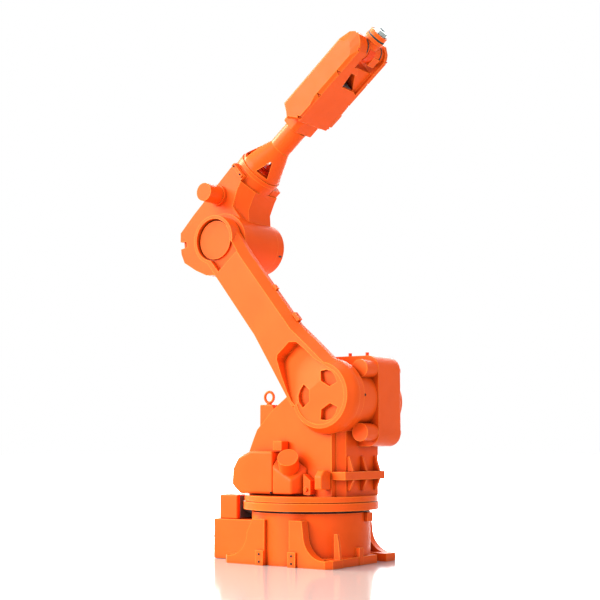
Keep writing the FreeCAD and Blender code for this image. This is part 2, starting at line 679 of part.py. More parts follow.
# ----------------------------------------------------------- lower arm
def lower_arm_casting():
    """Lower arm with its two round ends, bevelled front edge and hollows."""
    body = new_body("lower_arm_casting", ARM)
    pad_side(body, f"-{ARM_OUTER}", f"-{ARM_INNER}",
             [("-hub_lip", 50), ("-hub_lip + 22", 240), ("-arm_half - 2", 400),
              ("-arm_half + 2", "arm_length - 60"), ("-tip_radius + 6", "arm_length"),
              ("tip_radius - 6", "arm_length"), ("arm_half", "arm_length - 160"),
              ("arm_half", 300), ("hub_lip - 22", 190), ("hub_lip", 50)])
    doc.recompute()
    blank = body.Tip
    half = float(sizes.get("arm_half"))
    outer = blank.Shape.BoundBox.YMin
    front_edges = edges_where(blank.Shape, lambda edge: (
        abs(edge.CenterOfMass.y - outer) < 1e-6 and edge.CenterOfMass.x > half / 2
        and edge.Length > 100))
    bevel = body.newObject("PartDesign::Chamfer", f"{body.Name}_bevel")
    bevel.Base = (blank, front_edges)
    bevel.ChamferType = "Two distances"
    bevel.FlipDirection = False
    bind(bevel, "Size", "bevel_wide")
    bind(bevel, "Size2", "bevel_deep")
    add_cylinder(body, "hub_radius", "hub_rim", (0, f"-{ARM_INNER} - hub_rim", 0), "Y")
    add_cone(body, "hub_radius", "hub_lip", "arm_thick - hub_rim",
             (0, f"-{ARM_INNER} - hub_rim", 0), "-Y")
    add_cylinder(body, "tip_radius", "arm_thick", (0, f"-{ARM_OUTER}", "arm_length"), "Y")
    cut_cylinder(body, "hub_disc", "hub_sink", (0, f"-{ARM_OUTER}", 0), "Y")
    scoop = pocket(body, "XZ", f"{ARM_OUTER} - hub_sink + scoop_start * tan(scoop_lean)", "arm_thick",
                   [("-hub_disc", "scoop_start"), ("-hub_disc - 4", 70), ("4 - hub_disc", 110),
                    ("26 - hub_disc", "scoop_top - 70"), ("46 - hub_disc", "scoop_top - 14"),
                    ("60 - hub_disc", "scoop_top - 2"), ("hub_disc - 92", "scoop_top"),
                    ("hub_disc - 66", "scoop_top - 22"), ("hub_disc - 54", "scoop_top - 66"),
                    ("hub_disc - 42", "scoop_top / 2"), ("hub_disc - 10", "scoop_start")])
    sketch = scoop.Profile[0]
    sketch.AttachmentOffset = Placement(sketch.AttachmentOffset.Base,
                                        Rotation(Vector(1, 0, 0), 1))
    bind(sketch, "AttachmentOffset.Rotation.Angle", "-scoop_lean")
    for number in range(3):
        turn = f"window_turn - 120 * {number}"
        corners = []
        for out, side in (("window_in", "window_half / 2"), ("window_out - 24", "window_half"),
                          ("window_out - 6", "window_half / 2"), ("window_out", 0),
                          ("window_out - 6", "-window_half / 2"),
                          ("window_out - 24", "-window_half"), ("window_in", "-window_half / 2")):
            corners.append((f"({out}) * cos({turn} - arm_lean) - ({side}) * sin({turn} - arm_lean)",
                            f"({out}) * sin({turn} - arm_lean) + ({side}) * cos({turn} - arm_lean)"))
        pocket(body, "XZ", f"{ARM_OUTER} - hub_sink - window_deep", "window_deep + 1", corners)
    cut_cylinder(body, "tip_disc", "tip_sink", (0, f"-{ARM_OUTER}", "arm_length"), "Y")
    pocket(body, "XZ", f"{ARM_OUTER} - tip_sink", "tip_sink + 1",
           [("-tip_disc + 22", "arm_length"), ("-tip_disc + 26", "arm_length - 128"),
            ("arm_half - 26", "arm_length - 128"), ("tip_disc - 18", "arm_length")])


def shoulder_output():
    """Output flange of the shoulder gearbox, which carries the lower arm."""
    body = new_body("shoulder_output", ARM)
    add_cylinder(body, "output_radius", "run_gap - seat_gap",
                 (0, f"-{ARM_INNER}", 0), "Y")


def elbow_cap():
    body = new_body("elbow_cap", ARM)
    add_cylinder(body, "tip_cap", "tip_cap_thick",
                 (0, f"tip_sink - {ARM_OUTER} - tip_cap_thick", "arm_length"), "Y")


def arm_stops():
    """Two bosses on the arm's front edge."""
    body = new_body("arm_stops", ARM)
    add_block(body, ("arm_half", "arm_half + 11"), (f"-{ARM_INNER} - 26", f"-{ARM_INNER} - 8"),
              (490, 515))
    add_block(body, ("arm_half", "arm_half + 15"), (f"-{ARM_INNER} - 30", f"-{ARM_INNER} - 6"),
              (315, 355))


# --------------------------------------------------------------- elbow
def elbow_casting():
    """Casting that turns on the elbow axis and carries the forearm's roll axis."""
    body = new_body("elbow_casting", FORE)
    top = "elbow_rise + 48"
    rear = [("-60", "elbow_rise + 33"), ("-162", "elbow_rise + 22"), ("-192", "elbow_rise - 15"),
            ("-217", "elbow_rise - 56"), ("-228", "elbow_rise - 98"), ("-201", 23),
            ("-171", -34), ("-110", "-elbow_boss + 35"), (0, "-elbow_boss + 4")]
    front = [("elbow_boss - 4", 20), ("elbow_boss + 24", "elbow_rise - 133"),
             ("neck_end - 63", "elbow_rise - 106"), ("block_end", "elbow_rise - 98")]
    pad_side(body, "-elbow_near", "elbow_far", [("block_end", top)] + rear + front)
    doc.recompute()
    blank = body.Tip
    near = blank.Shape.BoundBox.YMin
    boss = float(sizes.get("elbow_boss"))
    rise = float(sizes.get("elbow_rise"))
    corners = edges_where(blank.Shape, lambda edge: (
        abs(edge.BoundBox.YMax - near) < 1e-6
        and edge.CenterOfMass.x > boss - 5
        and edge.CenterOfMass.z < rise - 60))
    slope = body.newObject("PartDesign::Chamfer", f"{body.Name}_slope")
    slope.Base = (blank, corners)
    bind(slope, "Size", "block_slope")
    pad_side(body, "-elbow_near", "plate_deep - elbow_near",
             [("neck_end - 12", top), ("-60", "elbow_rise + 33"), (0, 0), ("elbow_boss - 4", 0),
              ("elbow_boss", "elbow_rise - 93"), ("neck_end - 50", "elbow_rise - 35"),
              ("neck_end - 12", "elbow_rise - 35")])
    add_block(body, ("neck_end - 80", "neck_end - 10"), ("elbow_far - 50", "elbow_far"),
              ("elbow_rise - 92", "elbow_rise - 34"))
    add_cylinder(body, "elbow_boss", f"elbow_far + {CHEEK}",
                 (0, "elbow_far", 0), "-Y")
    add_cylinder(body, "neck_radius", "neck_end", (0, 0, "elbow_rise"), "X")
    pocket(body, "XZ", "elbow_near - plate_deep", "plate_deep + 1",
           [("-162", "elbow_rise - 31"), ("-240", "elbow_rise + 35"), ("-255", "elbow_rise - 10"),
            ("-172", "elbow_rise - 54")])


def elbow_output():
    """Output flange of the elbow gearbox, between the lower arm and the casting."""
    body = new_body("elbow_output_flange", ARM)
    add_cylinder(body, "elbow_output", "run_gap - seat_gap",
                 (0, f"-{ARM_INNER}", "arm_length"), "Y")


def elbow_motor_cover():
    body = new_body("elbow_motor_cover", FORE)
    add_cylinder(body, "elbow_barrel", "elbow_barrel_end - elbow_far", (0, "elbow_far", 0), "Y")


def roll_motor():
    body = new_body("roll_motor", FORE)
    add_cylinder(body, "roll_motor_radius", "roll_motor_long",
                 ("roll_motor_x", "-elbow_near - roll_base_long", "elbow_rise"), "-Y")


def roll_motor_ring():
    body = new_body("roll_motor_ring", FORE)
    add_cylinder(body, "roll_base_radius", "roll_base_long",
                 ("roll_motor_x", "-elbow_near", "elbow_rise"), "-Y")


def neck_bracket():
    """Cable bracket on the near face, at the neck."""
    body = new_body("neck_bracket", FORE)
    add_block(body, ("neck_end - 30", "neck_end - 14"), ("-elbow_near - 9", "-elbow_near"),
              ("elbow_rise - 30", "elbow_rise + 46"))


def roll_gearbox():
    body = new_body("roll_gearbox", FORE)
    add_cylinder(body, "ring_radius", "ring_thick", ("neck_end", 0, "elbow_rise"), "X")


# ------------------------------------------------------------- forearm
def forearm_yoke():
    """Flared foot of the forearm with four windows."""
    body = new_body("forearm_yoke", ROLL)
    start = "neck_end + ring_thick + seat_gap"
    cone = f"({start} + yoke_flange)"
    add_cylinder(body, "yoke_radius", "yoke_flange", (start, 0, 0), "X")
    add_cone(body, "yoke_radius", "tube_radius", f"yoke_end - {cone}", (cone, 0, 0), "X")
    cut_cone(body, "yoke_radius - yoke_wall", "tube_bore", f"yoke_end - {cone}",
             (cone, 0, 0), "X")
    apex = "yoke_end - 54"
    for turn in (45, 135):
        window = pocket(body, "XZ", "-yoke_radius", "2 * yoke_radius",
                        [(cone, "-yoke_window"), (apex, -4), (apex, 4), (cone, "yoke_window")])
        turn_sketch(window.Profile[0], turn, "yoke_radius")


def forearm_tube():
    body = new_body("forearm_tube", ROLL)
    add_cylinder(body, "tube_radius", "collar_start - yoke_end", ("yoke_end", 0, 0), "X")
    cut_cylinder(body, "tube_bore", "collar_start - yoke_end", ("yoke_end", 0, 0), "X")


def octagon(half_y, low, high, cut):
    """Cross outline of a forearm block around the forearm axis, in Y and Z."""
    return [(f"{cut} - {half_y}", f"-{low}"), (f"{half_y} - {cut}", f"-{low}"),
            (half_y, f"{cut} - {low}"), (half_y, f"{high} - {cut}"),
            (f"{half_y} - {cut}", high), (f"{cut} - {half_y}", high),
            (f"-{half_y}", f"{high} - {cut}"), (f"-{half_y}", f"{cut} - {low}")]


def forearm_collar():
    body = new_body("forearm_collar", ROLL)
    pad(body, "YZ", "collar_start", "fork_start - collar_start",
        octagon("collar_half_y", "collar_half_z", "collar_half_z", 16))


NOSE = [("bend_x + 8", "-fork_bottom"), ("bend_x + 36", "-fork_bottom + 24"),
        ("bend_x + fork_nose", 3), ("bend_x + fork_nose - 5", 26), ("bend_x + 31", "fork_top - 16"),
        ("bend_x - 22", "fork_top")]


def fork_casting():
    """Forked end of the forearm, open underneath and between its cheeks."""
    body = new_body("fork_casting", ROLL)
    pad_side(body, "-fork_half_y", "fork_half_y",
             [("fork_start", "-fork_bottom")] + NOSE + [("fork_start", "fork_top")])
    cut_block(body, ("fork_slot", "bend_x + fork_nose + 1"), ("-slot_near", "slot_far"),
              ("-fork_bottom - 1", "fork_top + 1"))
    pocket(body, "XY", "-fork_bottom", "hatch_deep",
           [("hatch_start", -24), ("hatch_end", -38), ("hatch_end", 2), ("hatch_start", 66)])
    pocket(body, "XY", "-fork_bottom", "ramp_deep",
           [("hatch_end", 2), ("fork_slot + 1", -20), ("fork_slot + 1", "slot_far"),
            ("hatch_start - 10", "slot_far"), ("hatch_start", 66)])


def side_cover(label, side, far, skin_near, skin_far):
    """Side cover of the fork: a sloped rim round its outer face, with bolt notches below."""
    body = new_body(label, ROLL)
    rim = [("side_start + 30", "fork_top")] + NOSE[::-1] + [
        ("side_start + 157", "-fork_bottom"), ("side_start + 117", "-fork_bottom"),
        ("side_start + 42", "-fork_bottom"), ("side_start", -4)]
    face = [("side_start + 37", "fork_top - side_slope"), ("bend_x - 22", "fork_top - side_slope"),
            ("bend_x - 9", 24), ("bend_x - 5", 17), ("bend_x + 3", 2), ("bend_x - 15", -20),
            ("bend_x - 31", "side_slope - fork_bottom"),
            ("side_start + 157", "side_slope - fork_bottom"),
            ("side_start + 117", "1 - fork_bottom"), ("side_start + 44", "2 - fork_bottom"),
            ("side_start + 8", 0)]
    pad_side(body, skin_near, skin_far, rim)
    loft = body.newObject("PartDesign::AdditiveLoft", f"{label}_loft")
    loft.Profile = outline_on(body, "XZ", f"{side}(fork_half_y + side_skin)", rim)
    loft.Sections = [outline_on(body, "XZ", f"{side}(fork_half_y + side_cover)", face)]
    loft.Ruled = True
    for number in range(4):
        middle = f"notch_first + {number} * notch_pitch"
        pocket(body, "XZ", f"-({far}) - 1", "side_cover + 2",
               [(f"{middle} - notch_half", "-fork_bottom - 1"),
                (f"{middle} + notch_half", "-fork_bottom - 1"),
                (f"{middle} + notch_half / 3", "notch_tall - fork_bottom")])


# ------------------------------------------------- wrist and tool flange
def wrist_housing():
    """Wrist housing: a drum on the bend axis with a neck towards the tool."""
    body = new_body("wrist_housing", ROLL)
    add_cylinder(body, "hub_size", "slot_near + drum_far - seat_gap",
                 ("bend_x", "seat_gap - slot_near", 0), "Y")
    add_cylinder(body, "wrist_neck", "slot_far - drum_far - seat_gap",
                 ("bend_x", "drum_far", 0), "Y")
    add_block(body, ("bend_x - 36", "bend_x + 6"), ("drum_far - 46", "drum_far - 4"),
              ("-hub_size - 4", -30))
    add_cylinder(body, "wrist_neck", "wrist_face - bend_x", ("bend_x", 0, 0), "X")
    add_cylinder(body, "wrist_ring", 14, ("wrist_face - 22", 0, 0), "X")


def tool_ring():
    body = new_body("tool_ring_disc", ROLL)
    add_cylinder(body, "tool_ring", "tool_ring_thick",
                 ("wrist_face + seat_gap", 0, 0), "X")


def tool_flange():
    """Bare metal tool flange with a centring bore and four threaded holes."""
    body = new_body("tool_flange", ROLL)
    start = "wrist_face + seat_gap + tool_ring_thick"
    face = f"{start} + tool_thick"
    add_cylinder(body, "tool_radius", "tool_thick", (start, 0, 0), "X")
    cut_cylinder(body, "tool_bore", "tool_bore_deep", (face, 0, 0), "-X")
    for number in range(4):
        turn = 45 + 90 * number
        cut_cylinder(body, "tool_hole", "tool_hole_deep",
                     (face, f"tool_circle * cos({turn})", f"tool_circle * sin({turn})"),
                     "-X")


for build in (base_casting, levelling_blocks, slewing_ring, turn_stop, connector_box,
              connector_hood, box_latch, turning_flange, column_casting, shoulder_motor_cover,
              cover_plugs, fork_bracket, bracket_ribs, turn_motor_cover, gear_case,
              turn_motor_cap, oil_block, end_cap, junction_box, lifting_lug, eye_bolt,
              lower_arm_casting, shoulder_output, elbow_cap, arm_stops, elbow_casting,
              elbow_output, elbow_motor_cover, roll_motor, roll_motor_ring, neck_bracket,
              roll_gearbox, forearm_yoke, forearm_tube, forearm_collar, fork_casting,
              wrist_housing, tool_ring, tool_flange):
    build()
side_cover("near_side_cover", "", "-fork_half_y", "-fork_half_y - side_skin", "-fork_half_y")
side_cover("far_side_cover", "-", "fork_half_y + side_cover",
           "fork_half_y", "fork_half_y + side_skin")
doc.recompute()

faults = [item.Name for item in doc.Objects if {"Invalid", "Error"} & set(item.State)]
for body in nodes:
    if body.Shape.isNull() or not body.Shape.isValid() or not body.Shape.Solids:
        faults.append(body.Label)
if faults:
    raise RuntimeError(f"these objects failed: {faults}")

os.makedirs("parts", exist_ok=True)
for body in nodes:
    body.Shape.exportStep(os.path.join("parts", f"{body.Label}.step"))
    print(f"{body.Label}: {len(body.Shape.Solids)} solid(s), {body.Shape.Volume / 1000:.1f} cm3")
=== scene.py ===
"""Six-axis industrial robot arm: finishes, small parts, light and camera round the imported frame.

Everything is in metres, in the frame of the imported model: +X is the front, +Z is up.
"""
import json
import math

import bmesh
import bpy
from mathutils import Matrix, Vector


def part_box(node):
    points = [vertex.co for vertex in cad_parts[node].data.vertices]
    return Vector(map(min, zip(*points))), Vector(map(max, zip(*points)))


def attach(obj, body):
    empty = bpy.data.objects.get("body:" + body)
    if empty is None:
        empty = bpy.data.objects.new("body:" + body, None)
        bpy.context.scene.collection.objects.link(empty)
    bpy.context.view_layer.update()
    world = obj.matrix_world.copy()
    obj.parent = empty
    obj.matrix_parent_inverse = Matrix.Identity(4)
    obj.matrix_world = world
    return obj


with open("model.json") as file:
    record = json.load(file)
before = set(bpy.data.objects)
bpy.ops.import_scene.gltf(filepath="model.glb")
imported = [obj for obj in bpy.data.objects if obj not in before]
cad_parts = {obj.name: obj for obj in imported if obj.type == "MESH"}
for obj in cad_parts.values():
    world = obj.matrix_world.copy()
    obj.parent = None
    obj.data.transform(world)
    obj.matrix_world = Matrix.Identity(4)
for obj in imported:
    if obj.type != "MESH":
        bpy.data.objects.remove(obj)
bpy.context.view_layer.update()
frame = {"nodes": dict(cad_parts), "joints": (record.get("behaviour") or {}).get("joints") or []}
nodes = frame["nodes"]
joints = {joint["name"]: joint for joint in frame["joints"]}


def joint_at(name):
    return Vector(joints[name]["pos_m"])


SHOULDER = joint_at("shoulder")
ELBOW = joint_at("elbow")
ROLL = joint_at("forearm_roll")
Y_AXIS = Vector((0, 1, 0))


def frame_at(origin, x_axis):
    """A frame whose X runs along the axis given and whose Y is the world's."""
    turn = Matrix((x_axis, Y_AXIS, x_axis.cross(Y_AXIS))).transposed()
    return Matrix.Translation(origin) @ turn.to_4x4()


forward = Vector(joints["forearm_roll"]["axis"]).normalized()
FORE = frame_at(ROLL, forward)
WORLD = Matrix.Identity(4)
BEND_X = 0.972  # the wrist's bend axis, along the forearm in FORE


# ------------------------------------------------------------ materials
EDGE_RADIUS = 0.0055  # how far the painted edge highlight reaches into a face
EDGE_DOTS = (0.90, 0.995)  # cosine between true and rounded normal: a full edge, no edge
CREVICE_REACH = 0.04
OPEN_SKY, SHUT_IN = 0.80, 0.15  # ambient occlusion of an unshaded point and of a point in full painted shade
PEEL_DEPTH = 0.00004
RIPPLE_DEPTH = 0.00010
RING_DEPTH = 0.00003


def new_material(name):
    made = bpy.data.materials.new(name)
    made.use_nodes = True
    made.node_tree.nodes.clear()
    return made, made.node_tree


def noise(tree, scale, detail):
    """Noise in object coordinates, scale in cells a metre."""
    place = tree.nodes.new("ShaderNodeTexCoord")
    made = tree.nodes.new("ShaderNodeTexNoise")
    made.inputs["Scale"].default_value = scale
    made.inputs["Detail"].default_value = detail
    tree.links.new(place.outputs["Object"], made.inputs["Vector"])
    return made.outputs["Fac"]


def ramp(tree, source, low, high, low_value, high_value):
    """Maps a value from low..high to two values."""
    made = tree.nodes.new("ShaderNodeMapRange")
    made.inputs["From Min"].default_value = low
    made.inputs["From Max"].default_value = high
    made.inputs["To Min"].default_value = low_value
    made.inputs["To Max"].default_value = high_value
    tree.links.new(source, made.inputs["Value"])
    return made.outputs["Result"]


def mixed(tree, factor, first, second):
    """A colour mix; first and second are colours or sockets."""
    made = tree.nodes.new("ShaderNodeMix")
    made.data_type = "RGBA"
    tree.links.new(factor, made.inputs["Factor"])
    for socket, value in ((made.inputs[6], first), (made.inputs[7], second)):
        if isinstance(value, tuple):
            socket.default_value = (*value, 1)
        else:
            tree.links.new(value, socket)
    return made.outputs[2]


def edge_mask(tree, radius, low, high):
    """1 along edges within the radius, 0 on the faces."""
    bevel = tree.nodes.new("ShaderNodeBevel")
    bevel.samples = 4
    bevel.inputs["Radius"].default_value = radius
    plain = tree.nodes.new("ShaderNodeNewGeometry")
    dot = tree.nodes.new("ShaderNodeVectorMath")
    dot.operation = "DOT_PRODUCT"
    tree.links.new(bevel.outputs["Normal"], dot.inputs[0])
    tree.links.new(plain.outputs["Normal"], dot.inputs[1])
    return ramp(tree, dot.outputs["Value"], high, low, 0, 1)


def crevice_mask(tree, reach):
    """1 deep in corners and gaps, 0 on open faces."""
    shadow = tree.nodes.new("ShaderNodeAmbientOcclusion")
    shadow.samples = 8
    shadow.inputs["Distance"].default_value = reach
    return ramp(tree, shadow.outputs["AO"], OPEN_SKY, SHUT_IN, 0, 1.0)


def surface(tree, **settings):
    """A Principled surface; plain numbers and colours go straight onto its sockets."""
    shader = tree.nodes.new("ShaderNodeBsdfPrincipled")
    output = tree.nodes.new("ShaderNodeOutputMaterial")
    tree.links.new(shader.outputs["BSDF"], output.inputs["Surface"])
    for name, value in settings.items():
        socket = shader.inputs[name.replace("_", " ")]
        if isinstance(value, bpy.types.NodeSocket):
            tree.links.new(value, socket)
        elif isinstance(value, tuple):
            socket.default_value = (*value, 1)
        else:
            socket.default_value = value


def bump(tree, *layers):
    """Stacks bumps; each layer is a height and its depth in metres."""
    normal = None
    for height, depth in layers:
        made = tree.nodes.new("ShaderNodeBump")
        made.inputs["Strength"].default_value = 1
        made.inputs["Distance"].default_value = depth
        tree.links.new(height, made.inputs["Height"])
        if normal:
            tree.links.new(normal, made.inputs["Normal"])
        normal = made.outputs["Normal"]
    return normal


def paint(name, colour, shade, edge, cast):
    """Satin paint: cloudy tone, specks, a painted highlight along edges, painted shade in crevices,
    orange peel and, on castings, a sand-cast ripple."""
    made, tree = new_material(name)
    cloud = ramp(tree, noise(tree, 5, 4), 0.35, 0.65, 0, 1)
    speck = ramp(tree, noise(tree, 70, 3), 0.62, 0.78, 0, 0.35)
    tone = mixed(tree, cloud, colour, shade)
    tone = mixed(tree, speck, tone, tuple(part * 0.8 for part in colour))
    # lighter along every edge: a painted highlight
    tone = mixed(tree, edge_mask(tree, EDGE_RADIUS, *EDGE_DOTS), tone, edge)
    # darker in corners, gaps and recesses by ambient occlusion: painted shade
    crevice_shade = tuple(part * 0.35 for part in shade)
    tone = mixed(tree, crevice_mask(tree, CREVICE_REACH), tone, crevice_shade)
    peel = noise(tree, 520, 2)
    layers = [(peel, PEEL_DEPTH)]
    if cast:
        layers.append((noise(tree, 130, 5), RIPPLE_DEPTH))
    rough = ramp(tree, noise(tree, 24, 4), 0.3, 0.7, 0.34, 0.46)
    surface(tree, Base_Color=tone, Roughness=rough, Specular_IOR_Level=0.11,
            Coat_Weight=0.02, Coat_Roughness=0.22, Normal=bump(tree, *layers))
    return made


def metal(name, colour, shade, low, high, grain, depth, metallic=1.0):
    """Bare or coated metal with tone, roughness and bump from noise of one grain."""
    made, tree = new_material(name)
    tone = mixed(tree, ramp(tree, noise(tree, grain, 4), 0.35, 0.65, 0, 1), colour, shade)
    rough = ramp(tree, noise(tree, grain * 0.4, 3), 0.3, 0.7, low, high)
    surface(tree, Base_Color=tone, Roughness=rough, Metallic=metallic,
            Normal=bump(tree, (noise(tree, grain * 2, 3), depth)))
    return made


def turned(name, colour, shade, axis_frame):
    """Lathe-turned metal: fine rings round the axis of the frame given."""
    made, tree = new_material(name)
    place = tree.nodes.new("ShaderNodeTexCoord")
    mapping = tree.nodes.new("ShaderNodeMapping")
    mapping.vector_type = "POINT"
    inverse = axis_frame.inverted()
    mapping.inputs["Location"].default_value = inverse.translation
    mapping.inputs["Rotation"].default_value = inverse.to_euler()
    tree.links.new(place.outputs["Object"], mapping.inputs["Vector"])
    rings = tree.nodes.new("ShaderNodeTexWave")
    rings.wave_type = "RINGS"
    rings.rings_direction = "X"
    rings.inputs["Scale"].default_value = 260
    rings.inputs["Distortion"].default_value = 0.6
    tree.links.new(mapping.outputs["Vector"], rings.inputs["Vector"])
    tone = mixed(tree, rings.outputs["Fac"], colour, shade)
    rough = ramp(tree, noise(tree, 60, 3), 0.3, 0.7, 0.2, 0.34)
    surface(tree, Base_Color=tone, Roughness=rough, Metallic=1.0,
            Normal=bump(tree, (rings.outputs["Fac"], RING_DEPTH)))
    return made


ORANGE = (0.86, 0.098, 0.008)
ORANGE_SHADE = (0.80, 0.086, 0.006)
# the edge colour is a painted highlight, lighter than the paint
ORANGE_EDGE_HIGHLIGHT = (0.98, 0.22, 0.025)
cast_orange = paint("cast_orange", ORANGE, ORANGE_SHADE, ORANGE_EDGE_HIGHLIGHT, True)
cover_orange = paint("cover_orange", ORANGE, ORANGE_SHADE, ORANGE_EDGE_HIGHLIGHT, False)
# the third colour is the painted edge highlight
red_paint = paint("deep_orange", (0.85, 0.05, 0.006), (0.74, 0.04, 0.005), (0.95, 0.1, 0.01), False)
# dark bare iron, kept this dark also as painted shade in the gaps where it sits
dark_iron_gap_shade = metal("dark_iron_gap_shade", (0.045, 0.040, 0.038), (0.022, 0.020, 0.019), 0.42, 0.6, 140, 0.00006)
black_oxide = metal("black_oxide", (0.020, 0.018, 0.017), (0.040, 0.034, 0.030), 0.35, 0.5, 300, 0.00002)
zinc = metal("zinc_plate", (0.62, 0.61, 0.58), (0.47, 0.46, 0.43), 0.28, 0.42, 160, 0.00003)
rubber = metal("black_rubber", (0.018, 0.018, 0.018), (0.028, 0.027, 0.026), 0.55, 0.7, 400, 0.00004,
               metallic=0.0)
plastic = metal("grey_plastic", (0.09, 0.09, 0.095), (0.07, 0.07, 0.072), 0.38, 0.48, 350, 0.00003,
                metallic=0.0)
steel = turned("turned_steel", (0.34, 0.39, 0.40), (0.22, 0.26, 0.27), FORE)

CASTINGS = ("base_casting", "turning_flange", "column_casting", "lower_arm_casting",
            "elbow_casting", "fork_casting", "forearm_yoke", "forearm_collar", "wrist_housing",
            "gear_case", "lifting_lug", "fork_bracket", "bracket_ribs", "arm_stops", "turn_stop",
            "neck_bracket", "levelling_blocks")
# the slewing ring and output flanges sit in gaps: their dark iron is partly painted shade
METALS = {"slewing_ring": dark_iron_gap_shade, "shoulder_output": dark_iron_gap_shade,
          "elbow_output_flange": dark_iron_gap_shade, "tool_flange": steel, "cover_plugs": red_paint}
# the width of each node's rounded edges
ROUNDING = {"base_casting": 0.0025, "column_casting": 0.003, "lower_arm_casting": 0.0025,
            "elbow_casting": 0.009, "fork_casting": 0.003, "forearm_yoke": 0.003,
            "forearm_collar": 0.005, "gear_case": 0.008, "turn_motor_cover": 0.010,
            "connector_box": 0.004, "connector_hood": 0.006, "fork_bracket": 0.004,
            "bracket_ribs": 0.003, "turn_motor_cap": 0.006, "roll_motor": 0.005,
            "elbow_motor_cover": 0.008, "end_cap": 0.006, "oil_block": 0.003,
            "junction_box": 0.003, "lifting_lug": 0.004, "near_side_cover": 0.005,
            "far_side_cover": 0.005, "wrist_housing": 0.006, "turning_flange": 0.003,
            "elbow_cap": 0.003, "levelling_blocks": 0.0005, "tool_flange": 0.001, "cover_plugs": 0.002}
DEFAULT_ROUNDING = 0.002
SHARP_DEGREES = 32  # edges that turn by more are rounded
WELD_GAP = 0.00002


def soften(piece, width, segments=3):
    """Joins split vertices, rounds the sharp edges and shades the rest smooth."""
    weld = piece.modifiers.new("weld", "WELD")
    weld.merge_threshold = WELD_GAP
    bevel = piece.modifiers.new("round", "BEVEL")
    bevel.width = width
    bevel.segments = segments
    bevel.limit_method = "ANGLE"
    bevel.angle_limit = math.radians(SHARP_DEGREES)
    bevel.use_clamp_overlap = True
    bevel.harden_normals = False
    smooth = piece.modifiers.new("shade", "WEIGHTED_NORMAL")
    smooth.keep_sharp = False
    smooth.weight = 80


for name, node in nodes.items():
    node.data.materials.clear()
    node.data.materials.append(METALS.get(name, cast_orange if name in CASTINGS else cover_orange))
    for face in node.data.polygons:
        face.use_smooth = True
    soften(node, ROUNDING.get(name, DEFAULT_ROUNDING))


# ----------------------------------------------------------- small parts
def lathe(mesh, place, profile, sides=28):
    """A closed solid round the local Z axis; profile is (radius, height, flats) for each ring."""
    rings = []
    for radius, height, flats in profile:
        ring = []
        for step in range(sides):
            angle = 2 * math.pi * step / sides
            reach = radius
            if flats:
                sector = 2 * math.pi / flats
                reach = radius / math.cos(angle % sector - sector / 2)
            point = Vector((reach * math.cos(angle), reach * math.sin(angle), height))
            ring.append(mesh.verts.new(place @ point))
        rings.append(ring)
    for lower, upper in zip(rings, rings[1:]):
        for step in range(sides):
            after = (step + 1) % sides
            mesh.faces.new((lower[step], lower[after], upper[after], upper[step]))
    if profile[0] == profile[-1]:
        return
    mesh.faces.new(rings[0][::-1])
    mesh.faces.new(rings[-1])


def block(mesh, place, low, high):
    """A box between two corners of the local frame."""
    corners = [place @ Vector((x, y, z)) for x in (low[0], high[0]) for y in (low[1], high[1])
               for z in (low[2], high[2])]
    points = [mesh.verts.new(corner) for corner in corners]
    for face in ((0, 1, 3, 2), (4, 6, 7, 5), (0, 4, 5, 1), (2, 3, 7, 6), (0, 2, 6, 4), (1, 5, 7, 3)):
        mesh.faces.new([points[index] for index in face])


def cap_screw(mesh, place, radius, height):
    """Socket-head cap screw with a hexagonal recess, standing on the local XY plane."""
    edge = radius * 0.12
    lathe(mesh, place, [(radius, 0, 0), (radius, height - edge, 0), (radius - edge, height, 0),
                        (radius * 0.5, height, 6), (radius * 0.5, height * 0.4, 6)], sides=24)


def ring(mesh, place, inner, outer, low, high):
    """A flat ring between two heights."""
    lathe(mesh, place, [(inner, low, 0), (outer, low, 0), (outer, high, 0), (inner, high, 0),
                        (inner, low, 0)], sides=72)


def standing(base, at, towards):
    """A place in the base frame whose local Z axis points towards a direction of that frame."""
    turn = Vector(towards).to_track_quat("Z", "Y").to_matrix().to_4x4()
    return base @ Matrix.Translation(Vector(at)) @ turn


def facing(base, at, towards, across):
    """A place whose local Z axis points towards one direction and X along another."""
    z_axis, x_axis = Vector(towards), Vector(across)
    turn = Matrix((x_axis, z_axis.cross(x_axis), z_axis)).transposed()
    return base @ Matrix.Translation(Vector(at)) @ turn.to_4x4()


def round_the(base, centre, towards, radius, count, first=0.0):
    """Places evenly spaced on a circle, all pointing the same way."""
    middle = standing(base, centre, towards)
    for number in range(count):
        angle = first + 2 * math.pi * number / count
        yield middle @ Matrix.Translation((radius * math.cos(angle), radius * math.sin(angle), 0))


DOUBLES_GAP = 0.00001


def add_piece(name, body, finish, build, rounded=0.0):
    """Makes one object from what build draws into a mesh, and lets it ride on a body."""
    mesh = bmesh.new()
    build(mesh)
    bmesh.ops.remove_doubles(mesh, verts=mesh.verts, dist=DOUBLES_GAP)
    bmesh.ops.recalc_face_normals(mesh, faces=mesh.faces)
    data = bpy.data.meshes.new(name)
    mesh.to_mesh(data)
    mesh.free()
    made = bpy.data.objects.new(name, data)
    bpy.context.scene.collection.objects.link(made)
    data.materials.append(finish)
    if rounded:
        soften(made, rounded, 2)
    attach(made, body)


